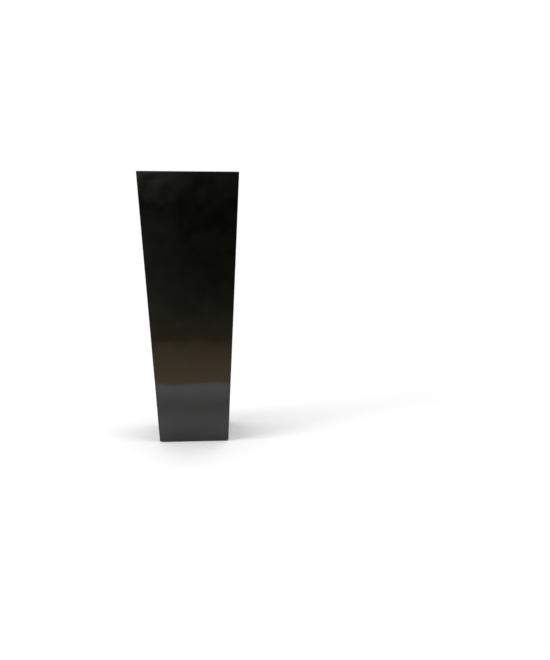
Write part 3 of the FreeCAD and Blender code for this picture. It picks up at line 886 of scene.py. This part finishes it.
# %% [markdown]
# ## The ledges
# Four bars of laminate bonded to the walls carry the shelf. Their noses are rounded, and a bead of resin
# squeezed out along the wall runs above and below each one. A bead is never even, so its size wanders along
# the bar. The bar could be a swept curve, but stations along it let the bead change from one to the next.

# %% The ledge's outline
LEDGE_NOSE = 0.008
LEDGE_NOSE_EASE = 0.0025
BEAD = 0.005
BEAD_WANDER = 0.15
UPPER_WAVES, LOWER_WAVES = (9, 23), (11, 27)
UPPER_BEAD_HOLLOW, LOWER_BEAD_HOLLOW = 0.8, 0.7
LEDGE_STATIONS = 30


def ledge_outline(top, heel, nose, upper_bead, lower_bead):
    """Section of a ledge with its two beads, as distance from the middle and height."""
    upper_hollow, lower_hollow = upper_bead * UPPER_BEAD_HOLLOW, lower_bead * LOWER_BEAD_HOLLOW
    return eased([
        (inside(top + upper_bead), top + upper_bead, 0),
        (inside(top) - upper_bead, top, upper_hollow),
        (nose, top, LEDGE_NOSE_EASE),
        (nose, top - LEDGE_NOSE, LEDGE_NOSE_EASE),
        (inside(heel) - lower_bead, heel + lower_hollow, lower_hollow),
        (inside(heel - lower_bead), heel - lower_bead, 0),
    ])


def ledge_outlines(side, axis):
    """The outline at each station along a ledge, with beads that wander."""
    low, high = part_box(f"shelf_ledge_{side}")
    nose = min(abs(low[axis]), abs(high[axis]))
    phases = np.random.default_rng(len(side) * 7 + axis).uniform(0, 2 * math.pi, 4)
    outlines = []
    for share in np.linspace(0, 1, LEDGE_STATIONS + 1):
        swell = sum(math.sin(wave * share + phase) for wave, phase in zip(UPPER_WAVES, phases[:2]))
        sag = sum(math.sin(wave * share + phase) for wave, phase in zip(LOWER_WAVES, phases[2:]))
        upper_bead, lower_bead = BEAD * (1 + BEAD_WANDER * swell), BEAD * (1 + BEAD_WANDER * sag)
        outlines.append(ledge_outline(high.z, low.z, nose, upper_bead, lower_bead))
    return outlines, high[1 - axis] - low[1 - axis]


print("a ledge's outline has", len(ledge_outlines("front", 1)[0][0]), "points")

# %% The ledge's mesh
WALL_SIDES = {"front": (0, -1, 0), "right": (1, 0, 0), "back": (0, 1, 0), "left": (-1, 0, 0)}


def ledge_mesh(side, out):
    """A bar along one wall, joined from outline to outline and closed at both ends."""
    outlines, span = ledge_outlines(side, axis=1 if out.y else 0)
    along = Vector((-out.y, out.x, 0))
    count = len(outlines[0])
    points, faces = [], []
    for station, outline in enumerate(outlines):
        middle = along * span * (station / LEDGE_STATIONS - 0.5)
        points += [middle + out * reach + Vector((0, 0, z)) for reach, z in outline]
        start, end = (station - 1) * count, station * count
        for j in range(count if station else 0):
            k = (j + 1) % count
            faces.append((start + j, start + k, end + k, end + j))
    faces.append(tuple(reversed(range(count))))
    faces.append(tuple(range(LEDGE_STATIONS * count, (LEDGE_STATIONS + 1) * count)))
    mesh = bpy.data.meshes.new(f"ledge_{side}")
    mesh.from_pydata(points, [], faces)
    mesh.shade_smooth()
    bar = bmesh.new()
    bar.from_mesh(mesh)
    bmesh.ops.recalc_face_normals(bar, faces=bar.faces)
    bar.to_mesh(mesh)
    bar.free()
    return mesh


print("ledges on", len(WALL_SIDES), "walls")

# %% Bond the ledges to the walls
LEDGE_END_EASE = 0.0008
LEDGE_END_ANGLE = 50

for side, out in WALL_SIDES.items():
    bar_mesh = ledge_mesh(side, Vector(out))
    ledge = place_piece(bar_mesh, "planter", f"shelf_ledge_{side}", "flowcoat_black", FLAT_COAT)
    ends = ledge.modifiers.new("eased_ends", "BEVEL")
    ends.width = LEDGE_END_EASE
    ends.segments = 2
    ends.limit_method = "ANGLE"
    ends.angle_limit = math.radians(LEDGE_END_ANGLE)
    even_shading(ledge)

# %% [markdown]
# ## Rubber
# Bung and pads are moulded rubber: matt, slightly mottled, with the fine pitting of a blasted mould. A pale
# bloom gathers on it with age, mostly in patches. The two rubbers differ only in their colours, so one
# function makes both.

# %% The rubber finish
RUBBER_ROUGH = (0.52, 0.72)
RUBBER_REFRACTION = 1.5


def rubber(name, dark, light):
    """Matt rubber, mottled between two colours, with pits."""
    finish = Finish(name)
    where = finish.place()
    mottle = finish.noise(where, scale=160.0, detail=4.0, rough=0.6)
    colour = finish.blend(finish.ramp(mottle, 0.35, 0.75), dark, light)
    rough = finish.ramp(mottle, 0.3, 0.7, *RUBBER_ROUGH)
    pits = finish.relief(finish.noise(where, scale=2600.0), strength=0.25, distance=0.0003)
    return finish.surface(colour, rough, pits, RUBBER_REFRACTION)


RUBBER_GREY = rubber("rubber_grey", (0.13, 0.13, 0.135, 1), (0.20, 0.20, 0.20, 1))
RUBBER_BLACK = rubber("rubber_black", (0.018, 0.018, 0.019, 1), (0.034, 0.034, 0.034, 1))

# %% [markdown]
# ## Turned pieces
# A bung and a pad are both turnings: an outline swung round an axis. The spin tool or a screw modifier would
# do it, but the bung's knob has flutes, which wave the radius on the way round, so the rings are written out.

# %% Swing an outline round
TURN_STEPS = 72
FLUTES = 18
ON_AXIS = 1e-6


def turned(name, outline, centre=(0.0, 0.0), flute=lambda radius, z: 0.0):
    """A mesh of an outline (radius, height) swung round an upright axis; a flute waves the radius."""
    points, faces, rings = [], [], []
    for radius, z in outline:
        first = len(points)
        count = TURN_STEPS if radius > ON_AXIS else 1
        for step in range(count):
            angle = 2 * math.pi * step / TURN_STEPS
            reach = radius - flute(radius, z) * (0.5 - 0.5 * math.cos(FLUTES * angle))
            points.append((centre[0] + reach * math.cos(angle), centre[1] + reach * math.sin(angle), z))
        rings.append((first, count))
    for (a, count_a), (b, count_b) in zip(rings[:-1], rings[1:]):
        for j in range(TURN_STEPS):
            k = (j + 1) % TURN_STEPS
            corners = [a + j % count_a, a + k % count_a, b + k % count_b, b + j % count_b]
            faces.append(tuple(dict.fromkeys(corners)))
    mesh = bpy.data.meshes.new(name)
    mesh.from_pydata(points, [], faces)
    mesh.shade_smooth()
    return mesh


print("a turning has", TURN_STEPS, "steps round, and", FLUTES, "flutes where it is fluted")

# %% [markdown]
# ## The drain bung
# Rubber, so that it wedges and seals: a tapered plug with three ribs that grip the drain, a flange that lies
# on the floor, a neck, and a fluted knob with a dished top to pull it by. A plain cone would fill the hole,
# but the ribs and the flange are what makes a bung seal.

# %% The bung's outline
bung_low, bung_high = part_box("drain_bung")

PLUG_RADIUS, PLUG_TAPER = 0.0117, 0.25
RIBS, RIB_START, RIB_PITCH, RIB_HEIGHT = 3, 0.0008, 0.0018, 0.0005
RIB_SIDE, RIB_CREST = 0.0004, 0.0010
FLANGE_THICK = 0.004
NECK, NECK_REACH = 0.0065, 0.013
NECK_TOP = FLOOR_TOP + NECK_REACH
KNOB = 0.011
DISH_OUT, DISH_IN, DISH_DEEP = 0.0055, 0.0045, 0.0008
TIP_EASE, FLANGE_EASE, NECK_ROOT = 0.0008, 0.0012, 0.002
NECK_HOLLOW, KNOB_EASE, DISH_EASE = 0.0014, 0.003, 0.0003


def bung_outline():
    """Ribbed plug, flange, neck and knob from the tip to the top of the knob."""
    plug = lambda z: PLUG_RADIUS + PLUG_TAPER * (z - BASE)
    tip, top, flange, flange_top = bung_low.z, bung_high.z, bung_high.x, FLOOR_TOP + FLANGE_THICK
    corners = [(0, tip, 0), (plug(tip), tip, TIP_EASE)]
    for rib in range(RIBS):
        z = BASE + RIB_START + RIB_PITCH * rib
        corners += [(plug(z) - RIB_HEIGHT, z, 0), (plug(z), z + RIB_SIDE, 0)]
        corners += [(plug(z), z + RIB_CREST, 0), (plug(z) - RIB_HEIGHT, z + RIB_SIDE + RIB_CREST, 0)]
    corners += [(plug(FLOOR_TOP), FLOOR_TOP, 0), (flange, FLOOR_TOP, TIP_EASE)]
    corners += [(flange, flange_top, FLANGE_EASE), (NECK, flange_top, NECK_ROOT)]
    corners += [(NECK, NECK_TOP, NECK_HOLLOW), (KNOB, NECK_TOP, KNOB_EASE), (KNOB, top, KNOB_EASE)]
    corners += [(DISH_OUT, top, DISH_EASE), (DISH_IN, top - DISH_DEEP, DISH_EASE), (0, top - DISH_DEEP, 0)]
    return eased(corners)


print("the bung's outline has", len(bung_outline()), "points")

# %% Build the bung
FLUTE_DEPTH, FLUTE_START, FLUTE_RADIUS = 0.0008, 0.0025, 0.0105


def knob_flutes(radius, z):
    """Flutes only on the upright side of the knob."""
    return FLUTE_DEPTH if z > NECK_TOP + FLUTE_START and radius > FLUTE_RADIUS else 0.0


bung_mesh = turned("bung_turning", bung_outline(), flute=knob_flutes)
bung = place_piece(bung_mesh, "bung", "drain_bung", "rubber_grey", RUBBER_GREY)
even_shading(bung)

# %% [markdown]
# ## The foot pads
# Four rubber discs keep the walls off the floor, which is the thin dark line under the planter. Each has
# three rings moulded into its underside, which stop it from sliding. A plain disc would do from above, but
# the planter also gets tipped over, so they are turned like the bung, one at each corner.

# %% Build the pads
RINGS, RING_START, RING_PITCH = 3, 0.0025, 0.0042
RING_SIDE, RING_WIDE = 0.0006, 0.0030
RING_HOLLOW = 0.0006
RING_ROOT, RING_EASE = 0.0002, 0.0003
PAD_SHOULDER, SHOULDER_LOW, SHOULDER_HIGH = 0.001, 0.0004, 0.0012
PAD_EASE, SHOULDER_EASE = 0.0004, 0.0006


def pad_outline(radius, low, high):
    """Ringed underside, shoulder, side and flat top of a pad."""
    corners = [(0, RING_HOLLOW, 0)]
    for ring in range(RINGS):
        start = RING_START + RING_PITCH * ring
        end = start + RING_WIDE
        corners += [(start, RING_HOLLOW, RING_ROOT), (start + RING_SIDE, low, RING_EASE)]
        corners += [(end - RING_SIDE, low, RING_EASE), (end, RING_HOLLOW, RING_ROOT)]
    corners += [(radius - PAD_SHOULDER, SHOULDER_LOW, PAD_EASE), (radius, SHOULDER_HIGH, SHOULDER_EASE)]
    corners += [(radius, high, PAD_EASE), (0, high, 0)]
    return eased(corners, steps=2)


for corner in ("front_left", "front_right", "back_left", "back_right"):
    pad_low, pad_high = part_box(f"foot_pad_{corner}")
    centre = (pad_low + pad_high) / 2
    outline = pad_outline((pad_high.x - pad_low.x) / 2, pad_low.z, pad_high.z)
    pad_mesh = turned(f"pad_{corner}", outline, centre.xy)
    pad = place_piece(pad_mesh, "planter", f"foot_pad_{corner}", "rubber_black", RUBBER_BLACK)
    even_shading(pad)

# %% [markdown]
# ## The light in the room
# Black gloss is drawn by what it mirrors. The walls lean out, so they mirror the floor in front of them and
# the deep end of a room. Daylight comes in there from the left, which makes the left of the front wall
# lighter than its right. A lamp behind a window could throw it, but two formulas are enough:
# a level that ebbs with distance, and one that is higher on the window's side.

# %% Falling light
WINDOW_BEARING = (-0.20, -0.05)
WINDOW_LIGHT = (2.6, 0.4)
NEAREST_FRONT = 0.1


def ebb(tree, distance, start, reach, power, rest):
    """Falls from 1 to a rest value with distance past a start."""
    past = tree.sum("DIVIDE", tree.sum("MAXIMUM", tree.sum("SUBTRACT", distance, start), 0.0), reach)
    fall = tree.sum("EXPONENT", tree.times(tree.sum("POWER", past, power), -1.0))
    return tree.add(tree.times(fall, 1.0 - rest), rest)


def window_side(tree, across, front, share):
    """How much lighter the deep end of the room is towards its left, where the daylight comes in."""
    bearing = tree.sum("DIVIDE", across, tree.sum("MAXIMUM", front, NEAREST_FRONT))
    gain = tree.sum("SUBTRACT", tree.ramp(bearing, *WINDOW_BEARING, *WINDOW_LIGHT), 1.0)
    return tree.add(tree.times(gain, share), 1.0)


print("the window's side is lit", WINDOW_LIGHT[0] / WINDOW_LIGHT[1], "times as much as the other")

# %% [markdown]
# ## What the walls mirror of the floor
# The planter stands on white paper over a wooden floor: white close by, with painted shade in slow swells of
# the sheet, then the paper's edge, then warm boards that darken into the room, with a ragged shade across
# them; that dusk and shade are painted into the floor's colour. To the sides and behind, the paper's colour
# fades into the room's painted dusk. A photograph of a floor could be laid there, but noise and the two
# formulas are free of any picture and can be tuned one by one.

# %% Mirrored paper and boards
PAPER_EDGE = 0.812
PAPER_EDGE_SOFT = (PAPER_EDGE - 0.004, PAPER_EDGE + 0.006)
BLACK = (0.0, 0.0, 0.0, 1.0)
BOARD_DARK, BOARD_LIGHT, BOARD_FAR = (0.64, 0.49, 0.275, 1), (0.74, 0.585, 0.36, 1), (0.66, 0.715, 0.49, 1)
SHEET_SWELL_SHADE, SHEET_SWELL_LIT = (0.70, 0.70, 0.70, 1), (0.94, 0.94, 0.94, 1)
BOARD_GRAIN = (0.017, 0.5, 1.0)
BOARDS_PALE = (1.4, 2.6)
SHADE_PLACE, SHADE_LEVEL, SHADE_RAGGED = (1.55, 1.80), 0.58, 0.24
WINDOW_DEPTH, WINDOW_FAR = (1.6, 4.4), (6.0, 14.0)
SWELL_PITCH, SWELL_WANDER, SWELL_START = 14.6, 1.6, 3.5


def mirrored_boards(finish, place, across, front, beside):
    """Boards from the paper's edge into the dusk of the room."""
    grain = finish.noise(finish.grain(place, BOARD_GRAIN), scale=1.0, detail=4.0, rough=0.6)
    boards = finish.blend(grain, BOARD_DARK, BOARD_LIGHT)
    boards = finish.blend(finish.ramp(front, *BOARDS_PALE), boards, BOARD_FAR)
    ragged = finish.add(front, finish.times(finish.noise(place, scale=5.0, detail=3.0), SHADE_RAGGED))
    deep = finish.add(finish.ramp(front, *WINDOW_DEPTH), finish.ramp(front, *WINDOW_FAR))
    dusk = ebb(finish, front, PAPER_EDGE, reach=0.92, power=1.18, rest=0.21)
    dusk = finish.times(dusk, ebb(finish, front, 3.5, reach=6.0, power=2.0, rest=0.85))
    dusk = finish.times(dusk, finish.ramp(ragged, *SHADE_PLACE, 1.0, SHADE_LEVEL))
    dusk = finish.times(dusk, ebb(finish, beside, 1.2, reach=1.5, power=1.5, rest=0.10))
    dusk = finish.times(dusk, window_side(finish, across, front, deep))
    return finish.blend(dusk, BLACK, boards)


def mirrored_sheet(finish, place, front, beside):
    """Paper with painted shade in slow swells, and a painted dusk that darkens it to the sides."""
    wander = finish.times(finish.noise(place, scale=3.0), SWELL_WANDER)
    wander = finish.sum("SUBTRACT", wander, SWELL_START)
    swells = finish.sum("SINE", finish.add(finish.times(front, SWELL_PITCH), wander))
    # painted shade: the swells darken and lighten the paper's colour in bands
    sheet = finish.blend(finish.ramp(swells, -1.0, 1.0, smooth=False), SHEET_SWELL_SHADE, SHEET_SWELL_LIT)
    # painted dusk: the paper's colour darkens to black towards the sides and behind
    return finish.blend(ebb(finish, beside, 0.5, reach=0.80, power=1.3, rest=0.06), BLACK, sheet)


print("the paper ends", PAPER_EDGE, "m in front of the planter's middle")

# %% [markdown]
# ## Floor
# One plane does for both. Mirror rays and bounced light meet the paper and the boards, but the camera sees
# plain pale paper everywhere, which keeps the planter's soft shadow and goes over into a white backdrop.
# Light Path tells the two apart, so no second floor has to be hidden from anything.

# %% The floor's finish
PAPER_DARK, PAPER_LIGHT = (0.90, 0.90, 0.90, 1), (0.92, 0.92, 0.92, 1)
WHITE = (1.0, 1.0, 1.0, 1.0)
BACKDROP_FROM, BACKDROP_WHOLE = 0.7, 1.7


def floor_finish():
    """Paper and boards for the walls to mirror, plain paper and backdrop for the camera."""
    finish = Finish("paper_and_boards")
    place = finish.place()
    split = finish.make("ShaderNodeSeparateXYZ", {0: place}).outputs
    front = finish.times(split["Y"], -1.0)
    beside = finish.sum("MAXIMUM", finish.sum("ABSOLUTE", split["X"]), split["Y"])
    boards = mirrored_boards(finish, place, split["X"], front, beside)
    sheet = mirrored_sheet(finish, place, front, beside)
    mirrored = finish.blend(finish.ramp(front, *PAPER_EDGE_SOFT), sheet, boards)
    felt = finish.make("ShaderNodeBsdfDiffuse", {"Color": mirrored}).outputs[0]
    paper = finish.blend(finish.noise(place, scale=60.0, detail=3.0), PAPER_DARK, PAPER_LIGHT)
    near = finish.make("ShaderNodeBsdfDiffuse", {"Color": paper}).outputs[0]
    backdrop = finish.make("ShaderNodeEmission", {"Color": WHITE, "Strength": 1.0}).outputs[0]
    away = finish.make("ShaderNodeVectorMath", {0: place}, operation="LENGTH").outputs["Value"]
    far = finish.ramp(away, BACKDROP_FROM, BACKDROP_WHOLE)
    seen = finish.make("ShaderNodeMixShader", {0: far, 1: near, 2: backdrop}).outputs[0]
    camera_ray = finish.make("ShaderNodeLightPath").outputs["Is Camera Ray"]
    surface = finish.make("ShaderNodeMixShader", {0: camera_ray, 1: felt, 2: seen}).outputs[0]
    finish.make("ShaderNodeOutputMaterial", {"Surface": surface})
    return finish.material


print("paper turns into backdrop from", BACKDROP_FROM, "to", BACKDROP_WHOLE, "m away")

# %% Lay the floor
FLOOR_REACH = 40.0

floor_mesh = bpy.data.meshes.new("floor")
floor_corners = [(x * FLOOR_REACH, y * FLOOR_REACH, 0.0) for x, y in ((-1, -1), (1, -1), (1, 1), (-1, 1))]
floor_mesh.from_pydata(floor_corners, [], [(0, 1, 2, 3)])
floor_mesh.materials.append(floor_finish())
floor = bpy.data.objects.new("floor", floor_mesh)
bpy.context.scene.collection.objects.link(floor)
print("floor", 2 * FLOOR_REACH, "m square, paper to", PAPER_EDGE, "m")

# %% [markdown]
# ## Room
# A white room with soft light. The camera sees plain white. Mirror rays see a dim room at the horizon that
# brightens upwards to a pale ceiling with broad soft light strips, so that the flat rim has something to
# mirror, and a white backdrop behind the planter. All other light from the room is an even fill. A picture
# all round is the usual way, but with a formula each part of the room can be set by itself.

# %% What mirror rays see of the room
ROOM_DIM, ROOM_WALL, CEILING = 0.045, 0.275, 0.75
STRIP_LIGHT, STRIP_COUNT = 0.5, 9.0
WARM_DUSK, COOL_LIGHT = (1.0, 0.99, 0.88, 1), (1.0, 1.0, 0.99, 1)


def mirrored_room(room):
    """Brightness and tint of the room by the way a mirror ray looks."""
    looking = room.make("ShaderNodeTexCoord").outputs["Generated"]
    split = room.make("ShaderNodeSeparateXYZ", {0: looking}).outputs
    across, up = split["X"], split["Z"]
    front = room.times(split["Y"], -1.0)
    dusk = room.ramp(up, -0.03, 0.04, ROOM_DIM, ROOM_WALL)
    dusk = room.times(dusk, window_side(room, across, front, room.ramp(front, 0.3, 0.8)))
    ceiling = room.ramp(up, 0.08, 0.50, 0.0, CEILING - ROOM_WALL)
    overhead = room.sum("DIVIDE", across, room.sum("MAXIMUM", up, 0.1))
    strips = room.times(room.sum("SINE", room.times(overhead, STRIP_COUNT)), STRIP_LIGHT)
    strips = room.times(strips, room.ramp(up, 0.3, 0.7))
    backdrop = room.times(room.ramp(split["Y"], 0.1, 0.6), room.ramp(up, 0.02, 0.10))
    level = room.sum("MAXIMUM", room.add(room.add(dusk, ceiling), strips), backdrop)
    neutral = room.sum("MAXIMUM", backdrop, room.ramp(up, 0.05, 0.35))
    return room.blend(neutral, WARM_DUSK, COOL_LIGHT), level


print("the ceiling is", round(CEILING / ROOM_WALL, 1), "times as bright as the walls of the room")

# %% Light the room
ROOM_FILL = 0.52

world = bpy.data.worlds.new("room")
room = Nodes(world)
tint, level = mirrored_room(room)
mirrored = room.make("ShaderNodeBackground", {"Color": tint, "Strength": level}).outputs[0]
fill = room.make("ShaderNodeBackground", {"Color": WHITE, "Strength": ROOM_FILL}).outputs[0]
white = room.make("ShaderNodeBackground", {"Color": WHITE, "Strength": 1.0}).outputs[0]
rays = room.make("ShaderNodeLightPath").outputs
sharp = room.sum("MAXIMUM", rays["Is Glossy Ray"], rays["Is Transmission Ray"])
felt_room = room.make("ShaderNodeMixShader", {0: sharp, 1: fill, 2: mirrored}).outputs[0]
whole_room = room.make("ShaderNodeMixShader", {0: rays["Is Camera Ray"], 1: felt_room, 2: white}).outputs[0]
room.make("ShaderNodeOutputWorld", {"Surface": whole_room})
bpy.context.scene.world = world
print("room with", ROOM_FILL, "fill and", len(world.node_tree.nodes), "nodes")

# %% [markdown]
# ## Lamps
# Two broad lamps at the sides, the left one stronger, and a large one above give the floor a soft shadow all
# round. Small bright lamps would give hard spots on black gloss. The one above isn't mirrored at all, because
# the rim would show it as one flat grey patch instead of the ceiling.

# %% Hang the lamps


def soft_lamp(name, place, aim, size, power, mirrored=True):
    """A square lamp that faces a point; one that isn't mirrored leaves the ceiling to the gloss."""
    data = bpy.data.lights.new(name, "AREA")
    data.size = size
    data.energy = power
    lamp = bpy.data.objects.new(name, data)
    lamp.location = place
    lamp.rotation_euler = (Vector(aim) - Vector(place)).to_track_quat("-Z", "Y").to_euler()
    lamp.visible_glossy = mirrored
    bpy.context.scene.collection.objects.link(lamp)
    print(f"{name}: {power} W, {size} m square")


soft_lamp("lamp_left", place=(-2.8, -1.2, 2.4), aim=(0.0, 0.0, 0.3), size=1.8, power=66.0)
soft_lamp("lamp_right", place=(2.8, -1.6, 2.6), aim=(0.0, 0.0, 0.3), size=1.8, power=30.0)
soft_lamp("lamp_above", place=(0.1, 0.7, 3.4), aim=(0.0, 0.0, 0.0), size=3.0, power=66.0, mirrored=False)

# %% [markdown]
# ## Skins and solids
# A skin that grew past its solid would be a planter of another size.
